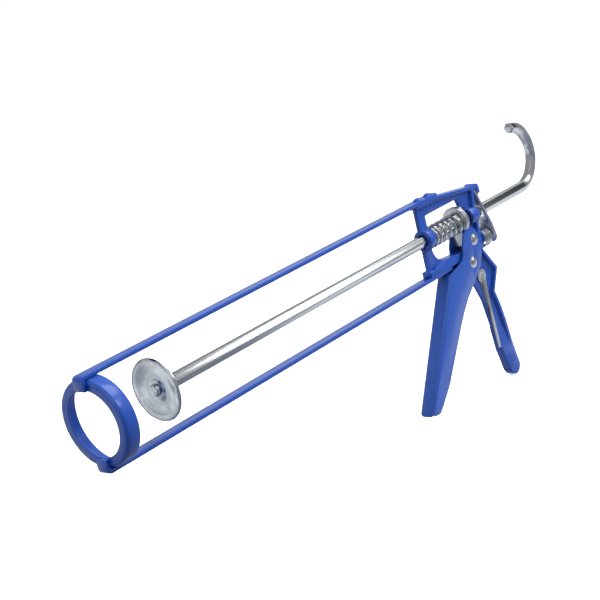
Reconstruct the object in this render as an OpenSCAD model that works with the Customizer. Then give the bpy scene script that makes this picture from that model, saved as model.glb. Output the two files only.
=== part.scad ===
// Caulking gun, open frame, for long sealant cartridges.
// Millimetres. The push rod runs along X towards the hook, Z is up, the handles hang down.
// The origin is on the rod axis, at the seat inside the front ring that the cartridge bears on.

/* [Cradle] */
// Inside diameter of the front ring, a running clearance over a 50 mm cartridge
ring_bore_d = 51.2; // [50.4:0.1:54]
// Sheet thickness of the front ring
ring_sheet = 1.4; // [1:0.1:2]
// Depth of the front ring behind its seat
ring_depth = 8.6; // [6:0.1:20]
// Width of the lip turned in at the front of the ring
lip_w = 6.65; // [4:0.05:9]
// Clear length between the ring seat and the front of the casting
cradle_len = 320; // [230:1:330]
// Width of the two rails
rail_w = 9; // [7:0.1:12]
// Thickness of the two rails
rail_t = 2.6; // [2:0.1:3.5]
// Length of rail that lies on the casting
rail_lap = 28; // [24:0.5:34]
// Shank diameter of the rail rivets
rail_rivet_d = 4; // [3:0.1:5]
// Spacing of the two rivets on each rail
rail_rivet_pitch = 12.5; // [10:0.5:14]

/* [Push rod] */
// Across flats of the hexagonal push rod
rod_af = 8; // [6:0.1:9]
// Position of the piston face behind the ring seat
piston_x = 48; // [46:1:300]
// Length of straight rod behind the casting front
rod_tail = 139; // [136:1:150]
// Bend radius of the hook, to the rod axis
hook_r = 24; // [18:0.5:30]
// Angle of the hook
hook_angle = 178.6; // [150:0.1:190]
// Radial room of the piston plate in the ring bore
piston_gap = 5.8; // [5.5:0.1:7.5]
// Sheet thickness of the piston plate
piston_sheet = 1.5; // [1:0.1:2]
// Clearance of the rod corners in the casting bores
rod_clear = 0.25; // [0.1:0.05:0.5]

/* [Casting] */
// Width of the casting flanges
flange_w = 8.6; // [7.6:0.1:9.6]
// Thickness of the flanges
flange_t = 2.6; // [2:0.1:3.5]
// Thickness of the casting web
web_t = 3; // [2.4:0.1:4]
// Thickness of the pad at the end of the handle
pad_t = 7; // [5:0.1:8]
// Diameter of the front rod boss
front_boss_d = 16; // [14:0.1:18]
// Diameter of the rear rod boss
rear_boss_d = 13.6; // [12.6:0.1:14.4]

/* [Trigger] */
// Outside width of the trigger channel
trigger_w = 13.2; // [12.6:0.1:15]
// Sheet thickness of the trigger
trigger_sheet = 1.4; // [1:0.1:2]
// Lean of the trigger front face from upright, in degrees
trigger_lean = 32.2; // [26:0.1:36]
// Shank diameter of the two trigger rivets
pivot_d = 4.6; // [4:0.1:5.4]
// Radial clearance of the pivot rivet in the casting
pivot_clear = 0.05; // [0.02:0.01:0.1]
// Outside diameter of the thrust roller
sleeve_d = 13.6; // [10:0.1:13.8]
// Height of the thrust rivet above the pivot
thrust_rise = 15.9; // [15:0.1:17]
// Side gap between the trigger and what it straddles
trigger_gap = 0.25; // [0.1:0.05:0.5]

/* [Drive and release] */
// Diameter of the drive plate head
drive_d = 21.8; // [20:0.2:23]
// Thickness of each drive plate
drive_t = 1.9; // [1.6:0.1:2.3]
// Height of the drive plate head above the rod axis
drive_rise = 1.4; // [0:0.1:2]
// Wire diameter of the feed spring
feed_wire = 2.3; // [1.6:0.1:2.6]
// Outside diameter of the feed spring
feed_od = 16.4; // [14:0.2:18]
// Turns of the feed spring
feed_turns = 6.5; // [5:0.5:8]
// Thickness of the release plate
release_t = 2; // [1.6:0.1:2.4]
// Width of the release plate below the rod
release_w = 17.6; // [15:0.2:20]
// Resting tilt of the release plate, in degrees
release_tilt = 14.2; // [10:0.1:15]
// Wire diameter of the release spring
release_wire = 1.3; // [1:0.1:1.6]
// Outside diameter of the release spring
release_od = 15; // [12:0.2:15.6]

/* [Seal piercer] */
// Wire diameter of the seal piercer
piercer_wire = 2.2; // [1.8:0.1:2.6]
// Diameter of the piercer head
piercer_head_d = 10.4; // [8:0.2:12]
// Thickness of the piercer head
piercer_head_t = 1.2; // [1:0.1:1.6]
// Length of the piercer from its pivot
piercer_len = 60.2; // [50:0.2:60.6]
// Diameter of the piercer rivet
piercer_pin_d = 3; // [2.4:0.1:3.6]

/* [Hidden] */
eps = 0.02;
body_x = cradle_len + 1;
ring_r = ring_bore_d / 2 + ring_sheet;
lip_open_d = 2 * (ring_r - lip_w);
piston_d = ring_bore_d - 2 * piston_gap;
rail_z = ring_r;
rail_add = rail_z - 27;
web_x = body_x + 0.4;
rail_end = body_x + rail_lap;
rivet_x1 = body_x + 7;
rivet_x2 = rivet_x1 + rail_rivet_pitch;
rod_corner_d = rod_af / cos(30);
bore_d = rod_corner_d + 2 * rod_clear;
pivot_x = body_x + 48.9;
pivot_z = -31.9 - rail_add;
thrust_x = body_x + 55.6;
thrust_z = pivot_z + thrust_rise;
sleeve_r = sleeve_d / 2;
drive_back = thrust_x - sleeve_r;
drive_mid = drive_back - drive_t;
drive_front = drive_back - 2 * drive_t;
ear_in = trigger_w / 2 - trigger_sheet;
tail_w = 2 * (ear_in - trigger_gap);
boss_back = body_x + 9.3;
feed_len = drive_front - boss_back;
release_x = body_x + 72.2;
release_z = 17 + rail_add;
release_seat_x = body_x + 69.4;
release_spring_z = -20.6 - rail_add;
release_spring_end = release_x - release_t / 2 / cos(release_tilt) - 0.1
    + (release_z - release_spring_z - release_od / 2) * tan(release_tilt);
release_turns = 4;
piercer_x = body_x + 61;
piercer_z = -46.6 - rail_add;
piercer_lean = 3.6;
piercer_y = -(web_t / 2 + 0.1 + piercer_wire / 2);
bend_x = body_x + rod_tail;
corner_x = body_x + 17;
corner_z = -33.9 - rail_add;
trigger_len = 102.8;
tip_r = 5;

// A point behind the cradle's end; the high and low ones follow the rails.
function at(x, z) = [body_x + x, z + (z > 12 ? rail_add : (z < -10 ? -rail_add : 0))];

// A side view drawing given a width across Y.
module side(w) {
    rotate([90, 0, 0]) linear_extrude(height = w, center = true) children();
}

// A round bar along X.
module bar_x(x0, x1, d, z = 0) {
    translate([x0, 0, z]) rotate([0, 90, 0]) cylinder(h = x1 - x0, d = d, $fn = 64);
}

// A round bar along Y.
module bar_y(x, z, y0, y1, d) {
    translate([x, y1, z]) rotate([90, 0, 0]) cylinder(h = y1 - y0, d = d, $fn = 64);
}

// A domed rivet head on the Y face at y, pointing the way of s.
module dome_y(x, z, y, s, r, h) {
    q = (r * r + h * h) / (2 * h);
    translate([x, y, z]) rotate([s * -90, 0, 0]) intersection() {
        translate([0, 0, h - q]) sphere(r = q, $fn = 64);
        cylinder(h = h + 1, r = r + 1, $fn = 64);
    }
}

// A coil spring along X, ends closed, swept from a round wire.
module coil_x(x0, len, od, wire, turns) {
    steps = 20;
    sides = 8;
    total = round(turns * steps);
    mid = (od - wire) / 2;
    pts = [for (i = [0:total]) for (j = [0:sides - 1])
        let (a = 360 * i / steps, t = i / total, u = i / steps,
            e = wire * 1.02,
            rise = u < 1 ? e * u : (u > turns - 1 ? len - wire - e * (turns - u)
                : e + (len - wire - 2 * e) * (u - 1) / (turns - 2)),
            b = 360 * j / sides, r = mid + wire / 2 * cos(b))
        [x0 + wire / 2 + rise + wire / 2 * sin(b), r * cos(a), r * sin(a)]];
    body = [for (i = [0:total - 1]) for (j = [0:sides - 1])
        [i * sides + j, i * sides + (j + 1) % sides,
            (i + 1) * sides + (j + 1) % sides, (i + 1) * sides + j]];
    cap0 = [[for (j = [0:sides - 1]) sides - 1 - j]];
    cap1 = [[for (j = [0:sides - 1]) total * sides + j]];
    polyhedron(points = pts, faces = concat(body, cap0, cap1));
}

// Pressed steel cup that holds the nozzle end of the cartridge.
module front_ring() {
    shoulder = 2.4;
    color("RoyalBlue") rotate([0, 90, 0]) rotate_extrude($fn = 128) difference() {
        union() {
            translate([lip_open_d / 2 + ring_sheet / 2, -ring_sheet])
                square([ring_r - shoulder - lip_open_d / 2 - ring_sheet / 2, ring_sheet]);
            translate([lip_open_d / 2 + ring_sheet / 2, -ring_sheet / 2]) circle(d = ring_sheet, $fn = 32);
            translate([ring_r - shoulder, shoulder - ring_sheet]) circle(r = shoulder, $fn = 64);
            translate([ring_bore_d / 2, shoulder - ring_sheet])
                square([ring_sheet, ring_depth - shoulder + ring_sheet]);
            translate([ring_r - shoulder - 1, -ring_sheet + 0.2]) square([shoulder, ring_sheet + 0.8]);
        }
        translate([0, 0]) square([ring_bore_d / 2, ring_depth + 1]);
    }
}

// One rail along the cradle with its tab folded down over the front of the ring.
module rail_strap(hole_d) {
    bend = 3.2;
    inner = 0.6;
    tab_x = -ring_sheet - rail_t;
    tab_low = lip_open_d / 2 + 0.2;
    difference() {
        side(rail_w) difference() {
            union() {
                translate([tab_x + bend, rail_z]) square([rail_end - tab_x - bend - rail_w / 2, rail_t]);
                translate([tab_x, tab_low]) square([rail_t, rail_z + rail_t - bend - tab_low]);
                translate([tab_x + bend, rail_z + rail_t - bend]) circle(r = bend, $fn = 64);
            }
            translate([tab_x + rail_t + inner, rail_z - 8]) square([8, 8]);
            translate([tab_x + rail_t, rail_z - 8 - inner]) square([8, 8]);
            translate([tab_x + rail_t + inner, rail_z - inner]) circle(r = inner, $fn = 32);
        }
        translate([rivet_x1, 0, rail_z - 1]) cylinder(h = rail_t + 2, d = hole_d, $fn = 48);
        translate([rivet_x2, 0, rail_z - 1]) cylinder(h = rail_t + 2, d = hole_d, $fn = 48);
    }
    difference() {
        translate([rail_end - rail_w / 2, 0, rail_z]) cylinder(h = rail_t, d = rail_w, $fn = 64);
        translate([rail_end - 1.5 * rail_w, -rail_w, rail_z - 1]) cube([rail_w, 2 * rail_w, rail_t + 2]);
    }
}

// Upper rail.
module top_rail() {
    color("RoyalBlue") rail_strap(rail_rivet_d);
}

// Lower rail, countersunk below for its flush rivets.
module bottom_rail() {
    color("RoyalBlue") mirror([0, 0, 1]) difference() {
        rail_strap(rail_rivet_d);
        for (x = [rivet_x1, rivet_x2])
            translate([x, 0, rail_z + rail_t - 1.5])
                cylinder(h = 1.5, d1 = rail_rivet_d, d2 = rail_rivet_d + 3, $fn = 48);
    }
}

// Domed rivets through the upper rail into the casting.
module top_rail_rivets() {
    color("RoyalBlue") for (x = [rivet_x1, rivet_x2]) {
        translate([x, 0, rail_z - 5]) cylinder(h = 5 + rail_t, d = rail_rivet_d, $fn = 48);
        translate([x, 0, rail_z + rail_t]) intersection() {
            translate([0, 0, 2 - 4]) sphere(r = 4, $fn = 64);
            cylinder(h = 4, r = 3.4, $fn = 48);
        }
    }
}

// Flush rivets through the lower rail into the casting.
module bottom_rail_rivets() {
    color("RoyalBlue") mirror([0, 0, 1]) for (x = [rivet_x1, rivet_x2]) {
        translate([x, 0, rail_z - 5]) cylinder(h = 5 + rail_t - 1.5, d = rail_rivet_d, $fn = 48);
        translate([x, 0, rail_z + rail_t - 1.5])
            cylinder(h = 1.5, d1 = rail_rivet_d, d2 = rail_rivet_d + 3, $fn = 48);
    }
}

// Side view of the casting web, with the window left out.
module web_view() {
    difference() {
        polygon([
            [web_x, -rail_z], [body_x + 38, -rail_z], at(42, -38),
            at(52.4, -51.6), at(58.6, -66), at(62.8, -88),
            at(66.6, -108), at(72.6, -129), at(85.4, -126),
            at(81.6, -107.3), at(78.2, -87.7), at(75, -72.5),
            at(71.6, -62.9), at(81.3, -46.5), at(66.2, -25.4),
            at(69, -8), at(69, 7), at(71, 17), at(70, 20.6),
            [rail_end, rail_z - 1], [web_x, rail_z - 1]]);
        polygon([
            at(9.8, 10), at(9.3, -7), at(10.2, -11.4),
            at(12.4, -15.2), at(15.6, -18.2), at(20, -19.8),
            at(41, -21.4), at(52, -22.6), at(60.5, -21),
            at(59.4, -4), at(58.4, 8.6), at(53.4, 10.4),
            at(51.2, 17.1), at(9.8, 17.1)]);
    }
    translate(at(79.2, -127.6)) circle(r = 6.6, $fn = 64);
}

// Rear flange outline, from the lug down to the end pad.
module rear_flange_view() {
    polygon([
        at(80.6, -118), at(83.8, -118), at(81.6, -107.3),
        at(78.2, -87.7), at(75, -72.5), at(71.6, -62.9),
        at(81.3, -46.5), at(66.2, -25.4), at(69, -8),
        at(69, 7), at(71, 17), at(71, 20),
        at(67.8, 20), at(67.8, 17), at(65.8, 7),
        at(65.8, -8.3), at(63, -26), at(78.1, -46.6),
        at(68.7, -62.9), at(71.9, -72.9), at(75.2, -88.2),
        at(78.6, -108)]);
}

// End pad outline, from where the web starts to thicken.
module end_pad_view() {
    polygon([
        at(62.1, -84), at(66.6, -108), at(72.6, -129),
        at(85.4, -126), at(81.6, -107.3), at(78.2, -87.7),
        at(77.3, -84)]);
    translate(at(79.2, -127.6)) circle(r = 6.6, $fn = 64);
}

// Front view block that narrows from one half width to another between two heights.
module taper_block(top_half, low_half, top_z, low_z) {
    translate([body_x + 50, 0, -rail_add]) rotate([90, 0, 90]) linear_extrude(height = 50) polygon([
        [-low_half, -150], [low_half, -150], [low_half, low_z], [top_half, top_z],
        [top_half, 60], [-top_half, 60], [-top_half, top_z], [-low_half, low_z]]);
}

// Die-cast body and rear handle: web, flanges, rod bosses, pivot boss and end pad.
module handle_casting() {
    low_z = -rail_z;
    boss_y = ear_in - trigger_gap;
    color("RoyalBlue") difference() {
        union() {
            side(web_t) web_view();
            // pads under and over the rails
            side(flange_w) {
                translate([cradle_len, rail_z - flange_t]) square([rail_end - cradle_len, flange_t]);
                polygon([
                    [cradle_len, low_z], [body_x + 41, low_z], at(41, -21.4),
                    at(20, -19.8), at(12, -22.4), [cradle_len, -22.9 - rail_add]]);
            }
            // top flange
            side(flange_w) polygon([
                [rail_end - 2, rail_z - flange_t], at(69, 18.8), at(71, 18.6),
                at(71, 21.4), [rail_end, rail_z], [rail_end - 2, rail_z]]);
            // rear flange down the handle, narrowing into the end pad
            intersection() {
                side(flange_w) rear_flange_view();
                taper_block(flange_w / 2, pad_t / 2, -90, -112);
            }
            // end pad, thickening out of the web
            intersection() {
                side(pad_t) end_pad_view();
                taper_block(web_t / 2 - 0.1, pad_t / 2, -88, -109);
            }
            // lug that the release plate hangs from
            side(flange_w) difference() {
                union() {
                    translate(at(74.2, 17.6)) circle(r = 4.6, $fn = 48);
                    polygon([
                        at(75.4, 17), at(77, 14.2),
                        at(79.2, 14.4), at(78.75, 17.6)]);
                }
                translate([body_x + 70.9, 6 + rail_add]) square([3.9, 12.3]);
            }
            // front boss
            bar_x(body_x + 2.8, boss_back, front_boss_d);
            translate([body_x + 2, 0, 0]) rotate([0, 90, 0])
                cylinder(h = 0.8, d1 = front_boss_d - 1.6, d2 = front_boss_d, $fn = 64);
            // rear boss
            bar_x(body_x + 60.2, body_x + 69.6, rear_boss_d);
            translate([body_x + 69.6, 0, 0]) rotate([0, 90, 0])
                cylinder(h = 0.8, d1 = rear_boss_d, d2 = rear_boss_d - 1.6, $fn = 64);
            // peg that centres the release spring
            bar_x(body_x + 64, release_seat_x + 3, 9.6, release_spring_z);
            side(flange_w) translate([body_x + 64, release_spring_z - 6.6])
                square([release_seat_x - body_x - 64, 13.2]);
            // pivot boss
            bar_y(pivot_x, pivot_z, -boss_y, boss_y, 14);
        }
        // rod bores
        bar_x(body_x - 3, body_x + 80, bore_d);
        // pivot bore
        bar_y(pivot_x, pivot_z, -10, 10, pivot_d + 2 * pivot_clear);
        // piercer hole
        bar_y(piercer_x, piercer_z, -6, 6, piercer_pin_d);
        // seat for the folded piercer
        translate([piercer_x, 0, piercer_z]) rotate([0, -piercer_lean, 0])
            translate([-20, -8, -piercer_len - 0.5])
                cube([20 + piercer_wire / 2 + 0.4, 8 - web_t / 2, piercer_len - 6]);
        // rivet holes
        for (x = [rivet_x1, rivet_x2]) {
            translate([x, 0, rail_z - 5]) cylinder(h = 6, d = rail_rivet_d, $fn = 48);
            translate([x, 0, -rail_z - 1]) cylinder(h = 6, d = rail_rivet_d, $fn = 48);
        }
        // room for the thrust roller
        bar_y(thrust_x, thrust_z, -8, 8, sleeve_d + 1.6);
    }
}

// Hexagonal rod with its end bent up and forward into a hook.
module push_rod() {
    color("Gainsboro") {
        translate([piston_x + 2.5, 0, 0]) rotate([90, 0, 90])
            linear_extrude(height = bend_x - piston_x - 2.5) circle(d = rod_corner_d, $fn = 6);
        translate([bend_x, 0, hook_r]) rotate([90, 0, 0])
            rotate_extrude(angle = hook_angle, start = -90, $fn = 96)
                translate([hook_r, 0]) rotate(30) circle(d = rod_corner_d, $fn = 6);
        translate([bend_x, 0, hook_r]) rotate([0, 90 - hook_angle, 0]) translate([hook_r, 0, 0])
            rotate(30) cylinder(h = 2.6, d1 = rod_corner_d, d2 = rod_corner_d - 3.4, $fn = 6);
        bar_x(piston_x - 1.2, piston_x + 3, 6);
        translate([piston_x - 0.2, 0, 0]) rotate([0, -90, 0])
            cylinder(h = 1.4, d1 = 8.4, d2 = 6.6, $fn = 48);
    }
}

// Dished piston plate with a forward lip.
module piston_plate() {
    r = piston_d / 2;
    s = piston_sheet;
    color("Gainsboro") translate([piston_x, 0, 0]) rotate([0, 90, 0]) rotate_extrude($fn = 128)
        difference() {
            union() {
                polygon([
                    [3, -0.2], [6.2, -0.2], [9, 1.4], [14.5, 1.4], [r - 0.8, -0.6],
                    [r, -0.2], [r, 1], [14.8, 1.4 + s], [8.6, 1.4 + s], [5.9, -0.2 + s + 0.6],
                    [3, -0.2 + s + 0.6]]);
                translate([r - 0.6, 0.2]) circle(r = 0.75, $fn = 32);
            }
            translate([0, -2]) square([3, 8]);
        }
}

// Washer behind the piston plate, between it and the shoulder of the rod.
module piston_back_washer() {
    color("Silver") translate([piston_x + 1.9, 0, 0]) difference() {
        rotate([0, 90, 0]) cylinder(h = 0.6, d = 11.4, $fn = 64);
        translate([-1, 0, 0]) rotate([0, 90, 0]) cylinder(h = 3, d = 6, $fn = 48);
    }
}

// Coil spring that returns the drive plates.
module feed_spring() {
    color("Silver") coil_x(boss_back, feed_len, feed_od, feed_wire, feed_turns);
}

// One drive plate: a round head round the rod and a tail between the trigger ears.
module drive_plate(x) {
    low = -18.4 - rail_add;
    translate([x, 0, 0]) rotate([90, 0, 90]) linear_extrude(height = drive_t) difference() {
        union() {
            difference() {
                translate([0, drive_rise]) circle(d = drive_d, $fn = 96);
                translate([-20, -25]) square([40, 20]);
            }
            translate([-tail_w / 2, low + 2]) square([tail_w, -4.4 - low]);
            translate([-tail_w / 2 + 2, low]) square([tail_w - 4, 8]);
            translate([-tail_w / 2 + 2, low + 2]) circle(r = 2, $fn = 32);
            translate([tail_w / 2 - 2, low + 2]) circle(r = 2, $fn = 32);
        }
        circle(d = bore_d + 0.1, $fn = 64);
    }
}

// Front drive plate.
module drive_plate_front() {
    color("Silver") drive_plate(drive_front);
}

// Rear drive plate.
module drive_plate_rear() {
    color("Silver") drive_plate(drive_mid);
}

// Side outline of the trigger.
module trigger_view() {
    difference() {
        union() {
            polygon([
                [corner_x, corner_z], at(-37.4, -120.9), at(-35.6, -122),
                at(-28.5, -121.6), at(-23.3, -117.6), at(-10.5, -105.9),
                at(-1.5, -94.9), at(8.3, -82.9), at(16.1, -73.3),
                at(24.9, -63.2), at(33.4, -55), at(43.4, -47.7),
                at(56.9, -37.1), at(61.6, -27.4), at(61.3, -15.5),
                at(51.4, -15.5), at(41.6, -14), at(39.4, -18),
                at(29.4, -18), at(29.4, -28.4), at(19.6, -31.4)]);
            translate(at(51.4, -15.5)) circle(r = 9.9, $fn = 64);
            translate(at(54.4, -26.8)) circle(r = 7.2, $fn = 64);
        }
        translate(at(29.4, -18.2)) circle(r = 10.2, $fn = 64);
    }
}

// Pressed trigger: a channel with round front corners, ears astride the casting.
module trigger() {
    r = 2.8;
    hole = pivot_d;
    long = trigger_len + 60;
    color("RoyalBlue") difference() {
        intersection() {
            translate([corner_x, 0, corner_z]) rotate([0, trigger_lean, 0]) {
                intersection() {
                    translate([0, 0, -trigger_len - 20]) linear_extrude(height = long + 20) difference() {
                        union() {
                            translate([r, -trigger_w / 2]) square([60, trigger_w]);
                            translate([0, -trigger_w / 2 + r]) square([r, trigger_w - 2 * r]);
                            translate([r, -trigger_w / 2 + r]) circle(r = r, $fn = 48);
                            translate([r, trigger_w / 2 - r]) circle(r = r, $fn = 48);
                        }
                        translate([r, -ear_in]) square([70, 2 * ear_in]);
                        translate([trigger_sheet, -ear_in + r - trigger_sheet])
                            square([r, 2 * ear_in - 2 * (r - trigger_sheet)]);
                        translate([r, -ear_in + r - trigger_sheet]) circle(r = r - trigger_sheet, $fn = 48);
                        translate([r, ear_in - r + trigger_sheet]) circle(r = r - trigger_sheet, $fn = 48);
                    }
                    // rounded lower end, seen on the front face
                    translate([-1, 0, 0]) rotate([90, 0, 90]) linear_extrude(height = 90) {
                        translate([-trigger_w / 2, -trigger_len + tip_r])
                            square([trigger_w, long]);
                        translate([-trigger_w / 2 + tip_r, -trigger_len])
                            square([trigger_w - 2 * tip_r, long]);
                        translate([-trigger_w / 2 + tip_r, -trigger_len + tip_r])
                            circle(r = tip_r, $fn = 48);
                        translate([trigger_w / 2 - tip_r, -trigger_len + tip_r])
                            circle(r = tip_r, $fn = 48);
                    }
                }
            }
            side(trigger_w + 4) trigger_view();
        }
        bar_y(pivot_x, pivot_z, -20, 20, hole);
        bar_y(thrust_x, thrust_z, -20, 20, hole);
    }
}

// A rivet across the trigger ears with two domed heads.
module ear_rivet(x, z) {
    half = trigger_w / 2;
    bar_y(x, z, -half, half, pivot_d);
    dome_y(x, z, -half, -1, 4.35, 1.9);
    dome_y(x, z, half, 1, 4.35, 1.9);
}

// Pivot rivet of the trigger.
module trigger_pivot_rivet() {
    color("Silver") ear_rivet(pivot_x, pivot_z);
}

// Rivet that carries the thrust roller.
module thrust_rivet() {
    color("Silver") ear_rivet(thrust_x, thrust_z);
}

// Roller between the ears that pushes the tail of the drive plates.
module thrust_sleeve() {
    color("Silver") difference() {
        bar_y(thrust_x, thrust_z, -ear_in, ear_in, sleeve_d);
        bar_y(thrust_x, thrust_z, -10, 10, pivot_d);
    }
}

// Release plate: rounded top edge in the casting lug, round hole for the rod, thumb tab below.
module release_plate() {
    top_w = flange_w + 0.2;
    low = -44.6 - 2 * rail_add;
    r = 4.4;
    color("Silver") translate([release_x, 0, release_z]) rotate([0, -release_tilt, 0]) {
        bar_y(0, 0, -top_w / 2, top_w / 2, release_t);
        rotate([90, 0, 90]) translate([0, 0, -release_t / 2]) linear_extrude(height = release_t) difference() {
            union() {
                polygon([
                    [top_w / 2, 0], [-top_w / 2, 0], [-release_w / 2, -30], [-release_w / 2, low + r],
                    [-release_w / 2 + r, low], [release_w / 2 - r, low],
                    [release_w / 2, low + r], [release_w / 2, -30]]);
                translate([release_w / 2 - r, low + r]) circle(r = r, $fn = 48);
                translate([-release_w / 2 + r, low + r]) circle(r = r, $fn = 48);
            }
            translate([0, -release_z / cos(release_tilt)]) circle(d = rod_corner_d + 1.4, $fn = 64);
        }
    }
}

// Coil spring that tilts the release plate.
module release_spring() {
    color("Silver") translate([0, 0, release_spring_z])
        coil_x(release_seat_x, release_spring_end - release_seat_x, release_od, release_wire, release_turns);
}

// Wire for piercing the cartridge seal, with a flat round head.
module seal_piercer() {
    y0 = -(web_t / 2 + 0.1);
    color("Silver") difference() {
        translate([piercer_x, 0, piercer_z]) rotate([0, -piercer_lean, 0]) {
            translate([0, y0, 0]) rotate([90, 0, 0])
                cylinder(h = piercer_head_t, d = piercer_head_d, $fn = 64);
            translate([0, piercer_y, -piercer_len]) cylinder(h = piercer_len - 3, d = piercer_wire, $fn = 32);
        }
        bar_y(piercer_x, piercer_z, -10, 10, piercer_pin_d + 0.1);
    }
}

// Rivet that the piercer turns on, flush in its head.
module piercer_rivet() {
    color("Silver") {
        bar_y(piercer_x, piercer_z, -(web_t / 2 + 0.1 + piercer_head_t), web_t / 2, piercer_pin_d);
        bar_y(piercer_x, piercer_z, web_t / 2, web_t / 2 + 0.9, piercer_pin_d + 2.4);
    }
}

front_ring();
top_rail();
bottom_rail();
handle_casting();
top_rail_rivets();
bottom_rail_rivets();
push_rod();
piston_plate();
piston_back_washer();
feed_spring();
drive_plate_front();
drive_plate_rear();
trigger();
trigger_pivot_rivet();
thrust_rivet();
thrust_sleeve();
release_plate();
release_spring();
seal_piercer();
piercer_rivet();
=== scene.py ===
"""Caulking gun: finishes, rounded edges, springs and the studio it stands in."""
import math

import bpy
from mathutils import Euler, Matrix, Vector


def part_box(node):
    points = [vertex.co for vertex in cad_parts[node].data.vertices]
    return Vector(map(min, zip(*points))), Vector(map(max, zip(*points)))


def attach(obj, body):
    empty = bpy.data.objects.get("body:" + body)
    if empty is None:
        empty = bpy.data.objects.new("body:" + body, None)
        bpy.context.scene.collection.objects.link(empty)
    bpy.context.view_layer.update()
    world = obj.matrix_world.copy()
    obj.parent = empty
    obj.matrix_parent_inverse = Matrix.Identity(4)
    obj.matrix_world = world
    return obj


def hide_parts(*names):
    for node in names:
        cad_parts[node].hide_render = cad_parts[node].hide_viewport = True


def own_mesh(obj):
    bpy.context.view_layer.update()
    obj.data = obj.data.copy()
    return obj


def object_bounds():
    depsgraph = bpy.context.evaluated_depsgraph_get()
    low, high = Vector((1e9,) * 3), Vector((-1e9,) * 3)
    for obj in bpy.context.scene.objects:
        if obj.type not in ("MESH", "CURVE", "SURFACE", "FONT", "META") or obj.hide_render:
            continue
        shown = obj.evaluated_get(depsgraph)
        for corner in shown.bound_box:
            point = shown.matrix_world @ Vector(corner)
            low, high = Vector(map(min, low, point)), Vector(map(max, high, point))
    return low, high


bl_info = {
    "name": "Caulking Gun Workshop",
    "version": (1, 0, 0),
    "blender": (4, 5, 0),
    "location": "3D View > Sidebar > Caulking Gun",
    "description": "Finishes the caulking gun frame: paint, zinc plating, springs and stage",
    "category": "Object",
}

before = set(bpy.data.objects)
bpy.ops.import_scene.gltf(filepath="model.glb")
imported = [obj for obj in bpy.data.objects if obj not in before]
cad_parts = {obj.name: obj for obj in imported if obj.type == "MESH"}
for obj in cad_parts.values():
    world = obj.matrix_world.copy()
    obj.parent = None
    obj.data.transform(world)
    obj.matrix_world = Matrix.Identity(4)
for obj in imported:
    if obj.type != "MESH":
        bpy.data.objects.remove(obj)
CAD_LOW, CAD_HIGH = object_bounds()
MM = 0.001
MERGE = 1e-6                  # points closer than this, in metres, are one
FLAT = math.radians(0.02)     # faces that turn less than this are one


# ---------------------------------------------------------------- settings

class PaintSettings(bpy.types.PropertyGroup):
    """Colours and gloss of the enamel."""
    body: bpy.props.FloatVectorProperty(
        name="Body paint", description="Enamel on the casting, rails and ring",
        subtype="COLOR", size=4, min=0, max=1, default=(0.006, 0.060, 0.365, 1))
    lever: bpy.props.FloatVectorProperty(
        name="Trigger paint", description="Enamel on the trigger, a shade lighter",
        subtype="COLOR", size=4, min=0, max=1, default=(0.012, 0.072, 0.375, 1))
    gloss: bpy.props.FloatProperty(
        name="Roughness", description="Roughness of the enamel under its clear gloss",
        subtype="FACTOR", min=0, max=1, default=0.38)
    peel: bpy.props.FloatProperty(
        name="Orange peel", description="Spacing of the ripples in the enamel",
        subtype="DISTANCE", unit="LENGTH", default=0.0022)


class MetalSettings(bpy.types.PropertyGroup):
    """Plating and edges of the bare metal pieces."""
    zinc: bpy.props.FloatVectorProperty(
        name="Zinc", description="Colour of the bright zinc plating",
        subtype="COLOR", size=4, min=0, max=1, default=(0.72, 0.74, 0.77, 1))
    wire: bpy.props.FloatVectorProperty(
        name="Spring wire", description="Colour of the plated spring wire",
        subtype="COLOR", size=4, min=0, max=1, default=(0.70, 0.72, 0.74, 1))
    edge: bpy.props.FloatProperty(
        name="Edge round", description="Rounding of sheared plate edges",
        subtype="DISTANCE", unit="LENGTH", default=0.00025)


class SpringSettings(bpy.types.PropertyGroup):
    """Coils of the two springs."""
    feed_turns: bpy.props.FloatProperty(
        name="Feed turns", description="Turns of the feed spring",
        min=4, max=9, default=6.5)
    feed_wire: bpy.props.FloatProperty(
        name="Feed wire", description="Wire thickness of the feed spring",
        subtype="DISTANCE", unit="LENGTH", default=0.0023)
    release_turns: bpy.props.FloatProperty(
        name="Release turns", description="Turns of the release spring",
        min=3, max=6, default=4)
    release_wire: bpy.props.FloatProperty(
        name="Release wire", description="Wire thickness of the release spring",
        subtype="DISTANCE", unit="LENGTH", default=0.0013)


class StageSettings(bpy.types.PropertyGroup):
    """Floor, lights and camera."""
    lens: bpy.props.FloatProperty(
        name="Lens", description="Focal length of the camera in millimetres", default=81.85)
    floor: bpy.props.FloatVectorProperty(
        name="Floor", description="Colour of the floor",
        subtype="COLOR", size=4, min=0, max=1, default=(0.88, 0.89, 0.91, 1))
    # Painted dark reflection: the colour the floor glows with under the gun, seen only by mirror
    # rays, so undersides mirror dark.
    cloth: bpy.props.FloatVectorProperty(
        name="Cloth", description="Dark cloth that the underside mirrors",
        subtype="COLOR", size=4, min=0, max=1, default=(0.05, 0.065, 0.11, 1))
    # Painted pale reflection: the colour the floor glows with round the dark, seen only by mirror
    # rays, for painted highlights.
    pale_reflection_paint: bpy.props.FloatVectorProperty(
        name="Painted pale reflection", description="Pale paper round the cloth",
        subtype="COLOR", size=4, min=0, max=1, default=(0.72, 0.76, 0.79, 1))
    air: bpy.props.FloatVectorProperty(
        name="Air", description="Colour of the light that comes from all around",
        subtype="COLOR", size=4, min=0, max=1, default=(0.97, 0.98, 1.0, 1))
    key: bpy.props.FloatProperty(
        name="Key light", description="Power of the near soft box",
        default=16.0, unit="POWER")


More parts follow.
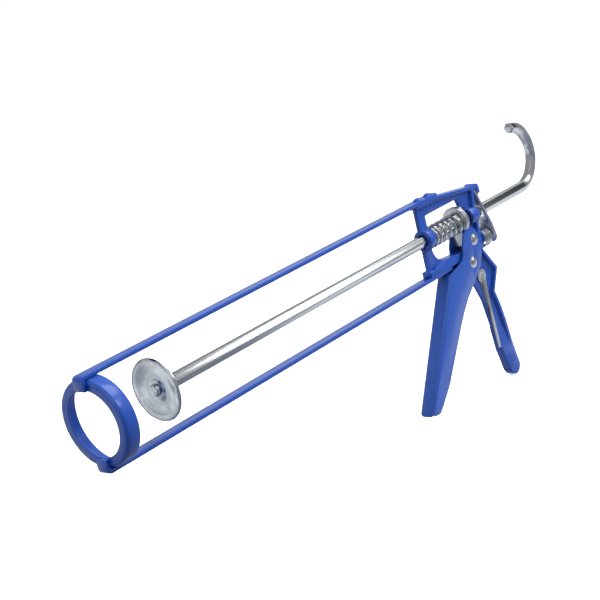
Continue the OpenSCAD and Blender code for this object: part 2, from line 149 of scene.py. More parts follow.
# Outline of the piston plate: radius in metres, or RIM for the plate's full radius,
# then how far inside that radius in metres, then the step from the seat in millimetres.
RIM = "rim"
DISC_FRONT = (
    (RIM, 0.0, 0.5), (RIM, 0.0002, 0.0), (RIM, 0.0006, -0.45), (RIM, 0.0010, -0.5),
    (RIM, 0.0014, -0.2), (0.0162, 0.0, -0.1), (0.0156, 0.0, 0.1), (0.0080, 0.0, 1.5),
    (0.0064, 0.0, 1.2), (0.0052, 0.0, 0.8), (0.0030, 0.0, 0.7),
)
DISC_BACK = (
    (0.0030, 0.0, 1.9), (0.0060, 0.0, 1.9), (0.0066, 0.0, 2.3), (0.0082, 0.0, 2.75),
    (0.0164, 0.0, 1.3), (RIM, 0.0, 1.0),
)
SEAT = 1.9 * MM               # from the seat to the washer behind the plate
CLOSED_COIL = 1.02            # rise of a spring's closed end turn, in wire widths

# Marks on each metal finish: how often they repeat along X, Y and Z, fine then deep.
ROD_MARKS = ((5.0, 2200.0, 2200.0), (24.0, 2600.0, 2600.0))
DISC_MARKS = ((260.0, 260.0, 260.0), (400.0, 90.0, 90.0))
SHEARED_MARKS = ((700.0, 700.0, 30.0), (300.0, 300.0, 120.0))
SPRING_MARKS = ((300.0, 300.0, 300.0), (500.0, 160.0, 160.0))
HEAD_MARKS = ((400.0, 400.0, 400.0), (600.0, 200.0, 300.0))
PIERCER_MARKS = ((700.0, 700.0, 20.0), (300.0, 300.0, 60.0))

FLOOR_SIZE = 60.0
FLOOR_GAP = 0.6 * MM          # between the lowest point of the gun and the floor

# Where the floor's painted dark reflection ends and its painted pale reflection begins, as
# mirrored, in metres.
PALE_REFLECTION_BESIDE = (0.10, 0.28)
PALE_REFLECTION_BEHIND = (0.20, 0.29)
PALE_REFLECTION_INNER = (-0.20, -0.10)

# Soft boxes that light the pieces: name, place, width, share of the key power.
SOFT_BOXES = (
    ("near box", (1.05, -0.75, 0.62), 0.8, 1.0),
    ("left box", (-0.9, -0.5, 1.1), 0.8, 0.5),
    ("top box", (0.3, 0.5, 1.3), 0.9, 0.7),
)

# The camera's place, and its turns about X, Y and Z in degrees.
EYE_PLACE = (-0.43596, -0.59465, 0.23074)
EYE_TURN = (74.917, 13.513, -49.812)
EYE_SENSOR = 36.0             # millimetres
EYE_NEAR, EYE_FAR = 0.01, 200.0

# Bright and dark patches of the studio that the plating mirrors: direction, full and
# faded half width in degrees, colour.
SKY_PATCHES = (
    ((-0.500, -0.500, 0.700), 14, 30, (0.9, 0.93, 0.95, 1)),
    ((0.740, 0.620, 0.250), 9, 15, (0.54, 0.58, 0.58, 1)),
    ((0.850, 0.480, 0.200), 5, 9, (0.76, 0.80, 0.78, 1)),
    ((0.500, -0.675, 0.543), 8.5, 13.5, (0.98, 1.0, 0.98, 1)),
    ((0.840, -0.425, 0.340), 7, 15, (0.030, 0.040, 0.036, 1)),
    ((0.560, -0.160, 0.800), 13, 18, (3.2, 3.3, 3.4, 1)),
    ((0.470, -0.700, 0.540), 6.5, 10, (5.0, 5.1, 5.3, 1)),
)


# ---------------------------------------------------------------- nodes

def add_node(tree, kind, place=(0, 0), **values):
    """Adds one shader node and sets its plain values."""
    node = tree.nodes.new(kind)
    node.location = place
    for key, value in values.items():
        setattr(node, key, value)
    return node


def new_group(name, ins, outs):
    """Starts a node group with named inputs and outputs."""
    group = bpy.data.node_groups.new(name, "ShaderNodeTree")
    for label, kind, value in ins:
        socket = group.interface.new_socket(name=label, in_out="INPUT", socket_type=kind)
        socket.default_value = value
    for label, kind in outs:
        group.interface.new_socket(name=label, in_out="OUTPUT", socket_type=kind)
    start = add_node(group, "NodeGroupInput", (-900, 0))
    end = add_node(group, "NodeGroupOutput", (700, 0))
    return group, start, end


def mottle_group():
    """Cloudy unevenness, 0 to 1."""
    group, start, end = new_group(
        "Mottle", [("Scale", "NodeSocketFloat", 60.0), ("Contrast", "NodeSocketFloat", 0.5)],
        [("Value", "NodeSocketFloat")])
    link = group.links.new
    where = add_node(group, "ShaderNodeTexCoord", (-900, 200))
    noise = add_node(group, "ShaderNodeTexNoise", (-600, 100))
    noise.inputs["Detail"].default_value = 4.0
    level = add_node(group, "ShaderNodeMath", (-300, 100), operation="SUBTRACT")
    level.inputs[1].default_value = 0.5
    gain = add_node(group, "ShaderNodeMath", (0, 100), operation="MULTIPLY")
    lift = add_node(group, "ShaderNodeMath", (300, 100), operation="ADD", use_clamp=True)
    lift.inputs[1].default_value = 0.5
    link(where.outputs["Object"], noise.inputs["Vector"])
    link(start.outputs["Scale"], noise.inputs["Scale"])
    link(noise.outputs["Fac"], level.inputs[0])
    link(level.outputs[0], gain.inputs[0])
    link(start.outputs["Contrast"], gain.inputs[1])
    link(gain.outputs[0], lift.inputs[0])
    link(lift.outputs[0], end.inputs["Value"])
    return group


def edge_highlight_group():
    """Mask of outer edges for a painted highlight, broken up by fine noise."""
    group, start, end = new_group(
        "Painted edge highlight", [("Amount", "NodeSocketFloat", 1.0), ("Scale", "NodeSocketFloat", 400.0)],
        [("Mask", "NodeSocketFloat")])
    link = group.links.new
    where = add_node(group, "ShaderNodeTexCoord", (-900, 300))
    shape = add_node(group, "ShaderNodeNewGeometry", (-900, -200))
    sharp = add_node(group, "ShaderNodeMapRange", (-600, -200))
    sharp.inputs["From Min"].default_value = 0.56
    sharp.inputs["From Max"].default_value = 0.68
    noise = add_node(group, "ShaderNodeTexNoise", (-600, 200))
    noise.inputs["Detail"].default_value = 5.0
    broken = add_node(group, "ShaderNodeMapRange", (-300, 200))
    broken.inputs["From Min"].default_value = 0.42
    broken.inputs["From Max"].default_value = 0.62
    both = add_node(group, "ShaderNodeMath", (0, 0), operation="MULTIPLY")
    gain = add_node(group, "ShaderNodeMath", (300, 0), operation="MULTIPLY", use_clamp=True)
    link(where.outputs["Object"], noise.inputs["Vector"])
    link(start.outputs["Scale"], noise.inputs["Scale"])
    link(shape.outputs["Pointiness"], sharp.inputs["Value"])
    link(noise.outputs["Fac"], broken.inputs["Value"])
    link(sharp.outputs[0], both.inputs[0])
    link(broken.outputs[0], both.inputs[1])
    link(both.outputs[0], gain.inputs[0])
    link(start.outputs["Amount"], gain.inputs[1])
    link(gain.outputs[0], end.inputs["Mask"])
    return group


def dust_group():
    """Thin dust on what faces up."""
    group, start, end = new_group(
        "Settled dust", [("Amount", "NodeSocketFloat", 0.3), ("Scale", "NodeSocketFloat", 120.0)],
        [("Mask", "NodeSocketFloat")])
    link = group.links.new
    where = add_node(group, "ShaderNodeTexCoord", (-900, 300))
    shape = add_node(group, "ShaderNodeNewGeometry", (-900, -200))
    split = add_node(group, "ShaderNodeSeparateXYZ", (-700, -200))
    up = add_node(group, "ShaderNodeMapRange", (-500, -200))
    up.inputs["From Min"].default_value = 0.2
    up.inputs["From Max"].default_value = 1.0
    noise = add_node(group, "ShaderNodeTexNoise", (-600, 200))
    noise.inputs["Detail"].default_value = 6.0
    both = add_node(group, "ShaderNodeMath", (0, 0), operation="MULTIPLY")
    gain = add_node(group, "ShaderNodeMath", (300, 0), operation="MULTIPLY", use_clamp=True)
    link(where.outputs["Object"], noise.inputs["Vector"])
    link(start.outputs["Scale"], noise.inputs["Scale"])
    link(shape.outputs["Normal"], split.inputs[0])
    link(split.outputs["Z"], up.inputs["Value"])
    link(noise.outputs["Fac"], both.inputs[0])
    link(up.outputs[0], both.inputs[1])
    link(both.outputs[0], gain.inputs[0])
    link(start.outputs["Amount"], gain.inputs[1])
    link(gain.outputs[0], end.inputs["Mask"])
    return group


def marks_group():
    """Fine marks drawn out along one direction, and a few deeper scratches."""
    group, start, end = new_group(
        "Drawn marks", [("Stretch", "NodeSocketVector", (8.0, 900.0, 900.0)),
                        ("Scratch stretch", "NodeSocketVector", (60.0, 260.0, 260.0))],
        [("Marks", "NodeSocketFloat"), ("Scratches", "NodeSocketFloat")])
    link = group.links.new
    where = add_node(group, "ShaderNodeTexCoord", (-900, 300))
    fine_place = add_node(group, "ShaderNodeVectorMath", (-700, 200), operation="MULTIPLY")
    fine = add_node(group, "ShaderNodeTexNoise", (-400, 200))
    fine.inputs["Scale"].default_value = 1.0
    fine.inputs["Detail"].default_value = 3.0
    deep_place = add_node(group, "ShaderNodeVectorMath", (-700, -200), operation="MULTIPLY")
    deep = add_node(group, "ShaderNodeTexNoise", (-400, -200))
    deep.inputs["Scale"].default_value = 1.0
    deep.inputs["Detail"].default_value = 6.0
    few = add_node(group, "ShaderNodeMapRange", (0, -200))
    few.inputs["From Min"].default_value = 0.60
    few.inputs["From Max"].default_value = 0.68
    link(where.outputs["Object"], fine_place.inputs[0])
    link(start.outputs["Stretch"], fine_place.inputs[1])
    link(fine_place.outputs[0], fine.inputs["Vector"])
    link(where.outputs["Object"], deep_place.inputs[0])
    link(start.outputs["Scratch stretch"], deep_place.inputs[1])
    link(deep_place.outputs[0], deep.inputs["Vector"])
    link(deep.outputs["Fac"], few.inputs["Value"])
    link(fine.outputs["Fac"], end.inputs["Marks"])
    link(few.outputs[0], end.inputs["Scratches"])
    return group


def rings_group():
    """Fine rings round the rod axis, as turning and pressing leave."""
    group, start, end = new_group(
        "Turned rings", [("Spacing", "NodeSocketFloat", 0.0005)], [("Value", "NodeSocketFloat")])
    link = group.links.new
    where = add_node(group, "ShaderNodeTexCoord", (-900, 200))
    flat = add_node(group, "ShaderNodeVectorMath", (-700, 200), operation="MULTIPLY")
    flat.inputs[1].default_value = (0, 1, 1)
    radius = add_node(group, "ShaderNodeVectorMath", (-500, 200), operation="LENGTH")
    count = add_node(group, "ShaderNodeMath", (-300, 200), operation="DIVIDE")
    turn = add_node(group, "ShaderNodeMath", (-100, 200), operation="MULTIPLY")
    turn.inputs[1].default_value = math.tau
    wave = add_node(group, "ShaderNodeMath", (100, 200), operation="SINE")
    half = add_node(group, "ShaderNodeMath", (300, 200), operation="MULTIPLY_ADD")
    half.inputs[1].default_value = 0.5
    half.inputs[2].default_value = 0.5
    link(where.outputs["Object"], flat.inputs[0])
    link(flat.outputs[0], radius.inputs[0])
    link(radius.outputs["Value"], count.inputs[0])
    link(start.outputs["Spacing"], count.inputs[1])
    link(count.outputs[0], turn.inputs[0])
    link(turn.outputs[0], wave.inputs[0])
    link(wave.outputs[0], half.inputs[0])
    link(half.outputs[0], end.inputs["Value"])
    return group


GROUPS = {}


def use_group(tree, name, place, **values):
    """Places one of the shared groups in a material."""
    makers = {"Mottle": mottle_group, "Painted edge highlight": edge_highlight_group,
              "Settled dust": dust_group, "Drawn marks": marks_group,
              "Turned rings": rings_group}
    if name not in GROUPS:
        GROUPS[name] = makers[name]()
    node = add_node(tree, "ShaderNodeGroup", place, node_tree=GROUPS[name])
    for key, value in values.items():
        node.inputs[key.replace("_", " ")].default_value = value
    return node


def mix_colour(tree, place, mask, low, high):
    """Mixes two colours, each a socket or a plain colour, by a mask socket."""
    node = add_node(tree, "ShaderNodeMix", place, data_type="RGBA")
    tree.links.new(mask, node.inputs["Factor"])
    for socket, value in ((node.inputs[6], low), (node.inputs[7], high)):
        if isinstance(value, bpy.types.NodeSocket):
            tree.links.new(value, socket)
        else:
            socket.default_value = value
    return node.outputs[2]


def map_range(tree, place, source, low, high, out_low, out_high):
    """Maps a value socket from one range to another."""
    node = add_node(tree, "ShaderNodeMapRange", place)
    node.inputs["From Min"].default_value = low
    node.inputs["From Max"].default_value = high
    node.inputs["To Min"].default_value = out_low
    node.inputs["To Max"].default_value = out_high
    tree.links.new(source, node.inputs["Value"])
    return node.outputs[0]


def bump(tree, place, height, strength, distance, under=None):
    """Turns a height socket into a normal."""
    node = add_node(tree, "ShaderNodeBump", place)
    node.inputs["Strength"].default_value = strength
    node.inputs["Distance"].default_value = distance
    tree.links.new(height, node.inputs["Height"])
    if under is not None:
        tree.links.new(under, node.inputs["Normal"])
    return node.outputs["Normal"]


def start_material(name):
    """A new material with its Principled shader, or the one that has this name."""
    found = bpy.data.materials.get(name)
    if found:
        return found, None, None
    material = bpy.data.materials.new(name)
    material.use_nodes = True
    tree = material.node_tree
    return material, tree, tree.nodes["Principled BSDF"]


def shade(colour, factor):
    """A colour made darker or lighter."""
    return tuple(min(1.0, c * factor) for c in colour[:3]) + (1.0,)


def enamel(name, colour, settings, edge=0.5):
    """Glossy stoved enamel over metal."""
    material, tree, shader = start_material(name)
    if tree is None:
        return material
    link = tree.links.new
    clouds = use_group(tree, "Mottle", (-900, 300), Scale=38.0, Contrast=1.2)
    body = mix_colour(tree, (-600, 300), clouds.outputs[0],
                      shade(colour, 0.90), shade(colour, 1.08))
    # Painted highlight: outer edges lighter and paler blue, like gloss catching the light, broken
    # up by noise.
    edge_highlight_mask = use_group(tree, "Painted edge highlight", (-900, 0), Amount=edge, Scale=420.0)
    body = mix_colour(tree, (-400, 200), edge_highlight_mask.outputs[0], body,
                      (colour[0] * 2 + 0.06, colour[1] * 2 + 0.10, colour[2] * 1.2 + 0.12, 1))
    dust = use_group(tree, "Settled dust", (-900, -300), Amount=0.04, Scale=260.0)
    body = mix_colour(tree, (-200, 100), dust.outputs[0], body, (0.50, 0.53, 0.60, 1))
    link(body, shader.inputs["Base Color"])
    grain = use_group(tree, "Mottle", (-900, -600), Scale=210.0, Contrast=1.0)
    link(map_range(tree, (-500, -400), grain.outputs[0], 0.0, 1.0,
                   settings.gloss - 0.08, settings.gloss + 0.10), shader.inputs["Roughness"])
    peel = use_group(tree, "Mottle", (-900, -900), Scale=1.0 / settings.peel, Contrast=1.0)
    link(bump(tree, (-300, -600), peel.outputs[0], 0.25, 0.00012), shader.inputs["Normal"])
    shader.inputs["Specular IOR Level"].default_value = 0.4
    shader.inputs["Coat Weight"].default_value = 0.7
    shader.inputs["Coat Roughness"].default_value = 0.10
    return material


def bright_zinc(name, colour, stretches, rough, relief=0.006 * MM, turned=False):
    """Bright zinc plate with drawn marks and a few scratches."""
    material, tree, shader = start_material(name)
    if tree is None:
        return material
    link = tree.links.new
    clouds = use_group(tree, "Mottle", (-900, 300), Scale=90.0, Contrast=1.0)
    body = mix_colour(tree, (-600, 300), clouds.outputs[0], shade(colour, 0.90),
                      (colour[0] * 1.06, colour[1] * 1.05, colour[2] * 1.02, 1))
    marks = use_group(tree, "Drawn marks", (-900, 0),
                      Stretch=stretches[0], Scratch_stretch=stretches[1])
    streaked = map_range(tree, (-600, 0), marks.outputs["Marks"], 0.35, 0.65, 0.0, 0.35)
    body = mix_colour(tree, (-400, 200), streaked, body, shade(colour, 0.62))
    body = mix_colour(tree, (-200, 200), marks.outputs["Scratches"], body, shade(colour, 0.55))
    link(body, shader.inputs["Base Color"])
    shader.inputs["Metallic"].default_value = 1.0
    link(map_range(tree, (-400, -200), marks.outputs["Marks"], 0.3, 0.7,
                   rough - 0.05, rough + 0.08), shader.inputs["Roughness"])
    first = bump(tree, (-400, -500), marks.outputs["Marks"], 0.5, relief)
    second = bump(tree, (-200, -500), marks.outputs["Scratches"], 0.5, relief * 2, first)
    if turned:
        rings = use_group(tree, "Turned rings", (-900, -700), Spacing=0.0005)
        second = bump(tree, (0, -500), rings.outputs[0], 0.3, 0.00001, second)
    link(second, shader.inputs["Normal"])
    return material


# ---------------------------------------------------------------- making

def only(*pieces):
    """Selects these pieces and nothing else, the first one active."""
    if bpy.context.mode != "OBJECT":
        bpy.ops.object.mode_set(mode="OBJECT")
    bpy.ops.object.select_all(action="DESELECT")
    for piece in pieces:
        piece.select_set(True)
    bpy.context.view_layer.objects.active = pieces[0]


def merged_copy(node, name):
    """A copy of a frame node with its loose triangles joined and flat faces whole."""
    piece = bpy.data.objects.new(name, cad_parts[node].data.copy())
    bpy.context.scene.collection.objects.link(piece)
    only(piece)
    bpy.ops.mesh.customdata_custom_splitnormals_clear()
    bpy.ops.object.mode_set(mode="EDIT")
    bpy.ops.mesh.select_mode(type="VERT")
    bpy.ops.mesh.select_all(action="SELECT")
    bpy.ops.mesh.remove_doubles(threshold=MERGE)
    bpy.ops.mesh.dissolve_limited(angle_limit=FLAT)
    bpy.ops.object.mode_set(mode="OBJECT")
    return piece


def soften(piece, width, segments=2, sharp=30.0, smooth=40.0):
    """Rounds the sharp edges of a piece and shades the rest smooth."""
    only(piece)
    rounding = piece.modifiers.new("Rounded edges", "BEVEL")
    rounding.limit_method = "ANGLE"
    rounding.angle_limit = math.radians(sharp)
    rounding.width = width
    rounding.segments = segments
    rounding.use_clamp_overlap = False
    rounding.miter_outer = "MITER_ARC"
    bpy.ops.object.modifier_apply(modifier=rounding.name)
    cutting = piece.modifiers.new("Cut many-sided faces", "TRIANGULATE")
    cutting.min_vertices = 5
    bpy.ops.object.modifier_apply(modifier=cutting.name)
    bpy.ops.object.shade_smooth_by_angle(angle=math.radians(smooth))
    return piece


def dress(piece, material):
    """Gives a piece its one material."""
    piece.data.materials.clear()
    piece.data.materials.append(material)


def settle(piece, body, node):
    """Hands a finished piece to its body and hides the node it stands for."""
    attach(piece, body)
    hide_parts(node)


def coil(name, low, high, turns, wire, sides=16, steps=48):
    """A compression spring along X between two box corners, its end turns closed."""
    middle = (low + high) / 2
    radius = (high.z - low.z) / 2 - wire / 2
    length = high.x - low.x - wire
    closed = wire * CLOSED_COIL
    lifts = [(1, closed), (turns - 2, length - 2 * closed), (1, closed)]
    start = low.x + wire / 2
    parts = []
    for count, rise in lifts:
        bpy.ops.object.select_all(action="DESELECT")
        bpy.ops.mesh.primitive_circle_add(
            vertices=sides, radius=wire / 2, fill_type="NOTHING",
            location=(start, middle.y + radius, middle.z))
        part = bpy.context.active_object
        bpy.ops.object.transform_apply(location=True, rotation=True, scale=True)
        pivot = bpy.data.objects.new("coil centre", None)
        bpy.context.scene.collection.objects.link(pivot)
        pivot.location = (0, middle.y, middle.z)
        winding = part.modifiers.new("Winding", "SCREW")
        winding.axis = "X"
        winding.object = pivot
        winding.angle = math.tau * count
        winding.screw_offset = rise
        winding.iterations = 1
        winding.steps = winding.render_steps = round(steps * count)
        winding.use_merge_vertices = False
        winding.use_normal_calculate = False
        only(part)
        bpy.ops.object.modifier_apply(modifier=winding.name)
        bpy.data.objects.remove(pivot)
        parts.append(part)
        start += rise
    only(*parts)
    bpy.ops.object.join()
    piece = bpy.context.active_object
    piece.name = piece.data.name = name
    bpy.ops.object.mode_set(mode="EDIT")
    bpy.ops.mesh.select_all(action="SELECT")
    bpy.ops.mesh.remove_doubles(threshold=2 * MERGE)
    bpy.ops.mesh.select_all(action="DESELECT")
    bpy.ops.mesh.select_mode(type="EDGE")
    bpy.ops.mesh.select_non_manifold(extend=False)
    bpy.ops.mesh.edge_face_add()
    bpy.ops.mesh.select_all(action="SELECT")
    bpy.ops.mesh.normals_make_consistent(inside=False)
    bpy.ops.object.mode_set(mode="OBJECT")
    bpy.ops.object.shade_smooth_by_angle(angle=math.radians(50))
    return piece


def spun(name, profile, steps=144, sharp=28.0):
    """A closed turned shape about the rod axis from (radius, place along X) pairs."""
    bpy.ops.object.select_all(action="DESELECT")
    bpy.ops.mesh.primitive_circle_add(vertices=len(profile), radius=0.01, fill_type="NOTHING")
    piece = bpy.context.active_object
    piece.name = piece.data.name = name
    for point, (radius, along) in zip(piece.data.vertices, profile):
        point.co = (along, 0, radius)
    turning = piece.modifiers.new("Turning", "SCREW")
    turning.axis = "X"
    turning.steps = turning.render_steps = steps
    turning.use_merge_vertices = True
    turning.merge_threshold = MERGE
    bpy.ops.object.modifier_apply(modifier=turning.name)
    bpy.ops.object.mode_set(mode="EDIT")
    bpy.ops.mesh.select_all(action="SELECT")
    bpy.ops.mesh.remove_doubles(threshold=MERGE)
    bpy.ops.mesh.normals_make_consistent(inside=False)
    bpy.ops.object.mode_set(mode="OBJECT")
    bpy.ops.object.shade_smooth_by_angle(angle=math.radians(sharp))
    return piece


# ---------------------------------------------------------------- studio

def painted_floor_reflection(tree, stage):
    """Painted reflection: what the floor glows with to mirror rays, painted dark under the gun,
    painted pale round it.
    """
    where = add_node(tree, "ShaderNodeTexCoord", (-1200, -500))
    split = add_node(tree, "ShaderNodeSeparateXYZ", (-1000, -500))
    tree.links.new(where.outputs["Object"], split.inputs[0])
    beside = map_range(tree, (-800, -500), split.outputs["Y"], *PALE_REFLECTION_BESIDE, 0.0, 1.0)
    behind = map_range(tree, (-800, -800), split.outputs["X"], *PALE_REFLECTION_BEHIND, 0.0, 1.0)
    inner = map_range(tree, (-800, -1100), split.outputs["Y"], *PALE_REFLECTION_INNER, 0.0, 1.0)
    strip = add_node(tree, "ShaderNodeMath", (-700, -900), operation="MULTIPLY")
    tree.links.new(behind, strip.inputs[0])
    tree.links.new(inner, strip.inputs[1])
    around = add_node(tree, "ShaderNodeMath", (-600, -600), operation="MAXIMUM")
    tree.links.new(beside, around.inputs[0])
    tree.links.new(strip.outputs[0], around.inputs[1])
    dark_and_pale_reflection = mix_colour(tree, (-400, -600), around.outputs[0], stage.cloth, stage.pale_reflection_paint)
    # Painted blotches that break up the painted dark reflection.
    reflection_blotches = use_group(tree, "Mottle", (-800, -1000), Scale=5.0, Contrast=7.0)
    blotch_mask = map_range(tree, (-600, -1000), reflection_blotches.outputs[0], 0.0, 1.0, 0.0, 0.75)
    return mix_colour(tree, (-300, -700), blotch_mask, dark_and_pale_reflection, shade(stage.cloth, 1.6))


def lay_floor(stage):
    """The floor: plain and pale to the camera; to every other ray painted dark, with the painted
    reflection glowing from it.
    """
    bpy.ops.object.select_all(action="DESELECT")
    bpy.ops.mesh.primitive_plane_add(size=FLOOR_SIZE, location=(0.2, 0, CAD_LOW.z - FLOOR_GAP))
    floor = bpy.context.active_object
    floor.name = "studio_floor"
    bpy.ops.object.transform_apply(location=True, rotation=True, scale=True)
    material, tree, shader = start_material("studio floor with painted reflection")
    clouds = use_group(tree, "Mottle", (-600, 0), Scale=3.0, Contrast=0.2)
    pale = mix_colour(tree, (-300, 0), clouds.outputs[0], stage.floor, shade(stage.floor, 1.02))
    eye_ray = add_node(tree, "ShaderNodeLightPath", (-600, -300)).outputs["Is Camera Ray"]
    # Base colour: pale to the camera; to every other ray painted dark, a painted shade that keeps
    # bounce light off the gun's undersides.
    tree.links.new(mix_colour(tree, (-100, 0), eye_ray, shade(stage.floor, 0.1), pale),
                   shader.inputs["Base Color"])
    # Glow: an even glow to the camera; to every other ray the painted reflection.
    glow_and_painted_reflection = mix_colour(tree, (-200, -400), eye_ray, painted_floor_reflection(tree, stage),
                      shade(stage.floor, 0.6))
    tree.links.new(glow_and_painted_reflection, shader.inputs["Emission Color"])
    shader.inputs["Emission Strength"].default_value = 1.0
    dress(floor, material)


def fill_air(scene, stage):
    """The studio's air: plain white to the camera, soft patches to every other ray."""
    world = bpy.data.worlds.new("studio air")
    scene.world = world
    world.use_nodes = True
    sky = world.node_tree
    air = sky.nodes["Background"]
    seen = add_node(sky, "ShaderNodeLightPath", (-600, 0))
    around = add_node(sky, "ShaderNodeTexCoord", (-1500, 300))
    tone = shade(stage.air, 0.36)
    for step, (way, full, gone, colour) in enumerate(SKY_PATCHES):
        along = -1300 + 200 * step
        lean = add_node(sky, "ShaderNodeVectorMath", (along, 500), operation="DOT_PRODUCT")
        lean.inputs[1].default_value = Vector(way).normalized()
        sky.links.new(around.outputs["Generated"], lean.inputs[0])
        mask = map_range(sky, (along, 300), lean.outputs["Value"],
                         math.cos(math.radians(gone)), math.cos(math.radians(full)), 0.0, 1.0)
        tone = mix_colour(sky, (along, 100), mask, tone, colour)
    tone = mix_colour(sky, (-100, 0), seen.outputs["Is Camera Ray"], tone, (1, 1, 1, 1))
    sky.links.new(tone, air.inputs["Color"])


def hang_lights(scene, stage):
    """Soft boxes aimed at the gun, which light it but are not mirrored."""
    centre = (CAD_LOW + CAD_HIGH) / 2
    for name, place, size, share in SOFT_BOXES:
        light = bpy.data.lights.new(name, "AREA")
        light.shape = "SQUARE"
        light.size = size
        light.energy = stage.key * share
        lamp = bpy.data.objects.new(name, light)
        scene.collection.objects.link(lamp)
        lamp.visible_camera = lamp.visible_glossy = False
        lamp.location = place
        lamp.rotation_mode = "QUATERNION"
        lamp.rotation_quaternion = (centre - Vector(place)).to_track_quat("-Z", "Y")


def set_camera(scene, stage):
    """The camera at its place, with its lens."""
    eye = bpy.data.cameras.new("eye")
    eye.lens = stage.lens
    eye.sensor_width = EYE_SENSOR
    eye.clip_start, eye.clip_end = EYE_NEAR, EYE_FAR
    camera = bpy.data.objects.new("eye", eye)
    scene.collection.objects.link(camera)
    turn = Euler([math.radians(angle) for angle in EYE_TURN])
    camera.matrix_world = Matrix.LocRotScale(Vector(EYE_PLACE), turn, None)
    scene.camera = camera


# ---------------------------------------------------------------- operators

class GUN_OT_casting(bpy.types.Operator):
    """Enamelled die-cast body with the rear handle"""
    bl_idname = "gun.casting"
    bl_label = "Casting"

    def execute(self, context):
        paint = context.scene.gun_paint
        piece = soften(merged_copy("handle_casting", "casting"), 0.4 * MM)
        dress(piece, enamel("body enamel", paint.body, paint))
        settle(piece, "frame", "handle_casting")
        return {"FINISHED"}


class GUN_OT_cradle(bpy.types.Operator):
    """Ring and rails that hold the cartridge, with their rivets"""
    bl_idname = "gun.cradle"
    bl_label = "Cradle"

    def execute(self, context):
        paint = context.scene.gun_paint
        blue = enamel("body enamel", paint.body, paint)
        for node, name, width in (("front_ring", "nozzle_ring", 0.3),
                                  ("top_rail", "upper_rail", 0.6),
                                  ("bottom_rail", "lower_rail", 0.6)):
            piece = soften(merged_copy(node, name), width * MM, sharp=40.0)
            dress(piece, blue)
            settle(piece, "frame", node)
        for node in ("top_rail_rivets", "bottom_rail_rivets"):
            dress(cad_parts[node], blue)
        return {"FINISHED"}


class GUN_OT_trigger(bpy.types.Operator):
    """Pressed trigger channel"""
    bl_idname = "gun.trigger"
    bl_label = "Trigger"

    def execute(self, context):
        paint = context.scene.gun_paint
        piece = soften(merged_copy("trigger", "trigger_channel"), 0.22 * MM, sharp=35.0)
        dress(piece, enamel("trigger enamel", paint.lever, paint))
        settle(piece, "trigger_body", "trigger")
        return {"FINISHED"}


class GUN_OT_rod(bpy.types.Operator):
    """Hexagonal rod with its hook, and the piston at its front end"""
    bl_idname = "gun.rod"
    bl_label = "Push rod"

    def execute(self, context):
        metal = context.scene.gun_metal
        rod = soften(merged_copy("push_rod", "hex_rod"), 0.35 * MM, sharp=40.0, smooth=35.0)
        dress(rod, bright_zinc("drawn zinc", metal.zinc, ROD_MARKS, 0.12, 0.002 * MM))
        settle(rod, "rod", "push_rod")
        low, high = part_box("piston_plate")
        rim = (high.z - low.z) / 2
        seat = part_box("piston_back_washer")[0].x - SEAT
        profile = [((rim if radius == RIM else radius) - inset, seat + step * MM)
                   for radius, inset, step in DISC_FRONT + DISC_BACK]
        disc = spun("piston_disc", profile)
        plate = bright_zinc("pressed zinc", metal.zinc, DISC_MARKS, 0.13, turned=True)
        dress(disc, plate)
        settle(disc, "rod", "piston_plate")
        dress(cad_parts["piston_back_washer"], plate)
        return {"FINISHED"}


class GUN_OT_plates(bpy.types.Operator):
    """Two drive plates and the release plate"""
    bl_idname = "gun.plates"
    bl_label = "Plates"

    def execute(self, context):
        metal = context.scene.gun_metal
        steel = bright_zinc("sheared zinc", metal.zinc, SHEARED_MARKS, 0.28)
        for node, name, body in (("drive_plate_front", "front_drive_plate", "drive"),
                                 ("drive_plate_rear", "rear_drive_plate", "drive"),
                                 ("release_plate", "release_tab", "release")):
            piece = soften(merged_copy(node, name), metal.edge)
            dress(piece, steel)
            settle(piece, body, node)
        return {"FINISHED"}


class GUN_OT_springs(bpy.types.Operator):
    """Feed spring on the rod and release spring behind the handle"""
    bl_idname = "gun.springs"
    bl_label = "Springs"

    def execute(self, context):
        springs, metal = context.scene.gun_springs, context.scene.gun_metal
        wire = bright_zinc("drawn wire", metal.wire, SPRING_MARKS, 0.15)
        low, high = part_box("feed_spring")
        feed = coil("feed_coil", low, high, springs.feed_turns, springs.feed_wire)
        dress(feed, wire)
        low_r, high_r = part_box("release_spring")
        release = coil("release_coil", low_r, high_r,
                       springs.release_turns, springs.release_wire)
        dress(release, wire)
        settle(feed, "frame", "feed_spring")
        settle(release, "frame", "release_spring")
        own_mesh(feed)
        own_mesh(release)
        return {"FINISHED"}


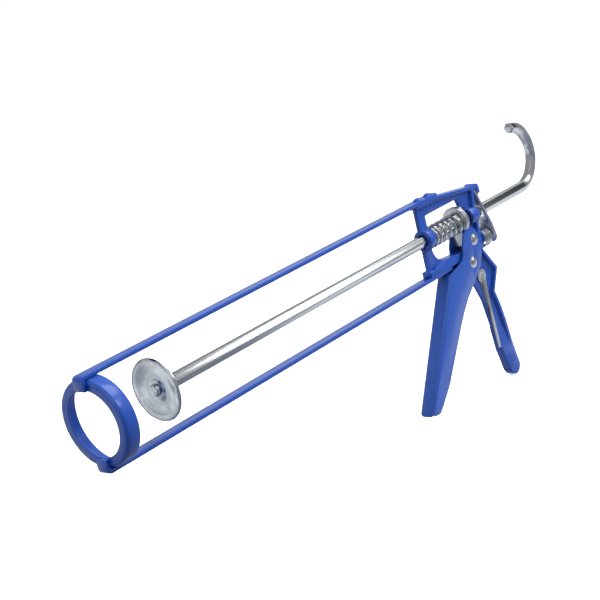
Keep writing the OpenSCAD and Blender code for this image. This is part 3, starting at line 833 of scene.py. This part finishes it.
class GUN_OT_rivets(bpy.types.Operator):
    """Plated rivets, the thrust roller and the seal piercer"""
    bl_idname = "gun.rivets"
    bl_label = "Rivets and piercer"

    def execute(self, context):
        metal = context.scene.gun_metal
        headed = bright_zinc("headed zinc", metal.zinc, HEAD_MARKS, 0.24)
        for node in ("trigger_pivot_rivet", "thrust_rivet", "thrust_sleeve", "piercer_rivet"):
            dress(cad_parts[node], headed)
        wire = bright_zinc("piercer wire", metal.wire, PIERCER_MARKS, 0.3)
        piercer = soften(merged_copy("seal_piercer", "piercer"), 0.15 * MM)
        dress(piercer, wire)
        settle(piercer, "piercer", "seal_piercer")
        return {"FINISHED"}


class GUN_OT_stage(bpy.types.Operator):
    """Pale floor, soft lights and the camera"""
    bl_idname = "gun.stage"
    bl_label = "Stage"

    def execute(self, context):
        scene = context.scene
        lay_floor(scene.gun_stage)
        fill_air(scene, scene.gun_stage)
        hang_lights(scene, scene.gun_stage)
        set_camera(scene, scene.gun_stage)
        scene.view_settings.view_transform = "Standard"
        return {"FINISHED"}


class GUN_PT_panel(bpy.types.Panel):
    """Buttons for the pieces and the stage"""
    bl_idname = "GUN_PT_panel"
    bl_label = "Caulking Gun"
    bl_space_type = "VIEW_3D"
    bl_region_type = "UI"
    bl_category = "Caulking Gun"

    def draw(self, context):
        for operator in OPERATORS:
            self.layout.operator(operator.bl_idname)


SETTINGS = {"gun_paint": PaintSettings, "gun_metal": MetalSettings,
            "gun_springs": SpringSettings, "gun_stage": StageSettings}
OPERATORS = (GUN_OT_stage, GUN_OT_casting, GUN_OT_cradle, GUN_OT_trigger, GUN_OT_rod,
             GUN_OT_plates, GUN_OT_springs, GUN_OT_rivets)


def register():
    """Makes the settings, operators and panel known."""
    for name, group in SETTINGS.items():
        bpy.utils.register_class(group)
        setattr(bpy.types.Scene, name, bpy.props.PointerProperty(type=group))
    for operator in OPERATORS:
        bpy.utils.register_class(operator)
    bpy.utils.register_class(GUN_PT_panel)


def unregister():
    """Takes them away again."""
    bpy.utils.unregister_class(GUN_PT_panel)
    for operator in reversed(OPERATORS):
        bpy.utils.unregister_class(operator)
    for name, group in SETTINGS.items():
        delattr(bpy.types.Scene, name)
        bpy.utils.unregister_class(group)


def main():
    """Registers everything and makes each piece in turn."""
    register()
    bpy.ops.gun.stage()
    bpy.ops.gun.casting()
    bpy.ops.gun.cradle()
    bpy.ops.gun.trigger()
    bpy.ops.gun.rod()
    bpy.ops.gun.plates()
    bpy.ops.gun.springs()
    bpy.ops.gun.rivets()


if __name__ == "__main__":
    main()
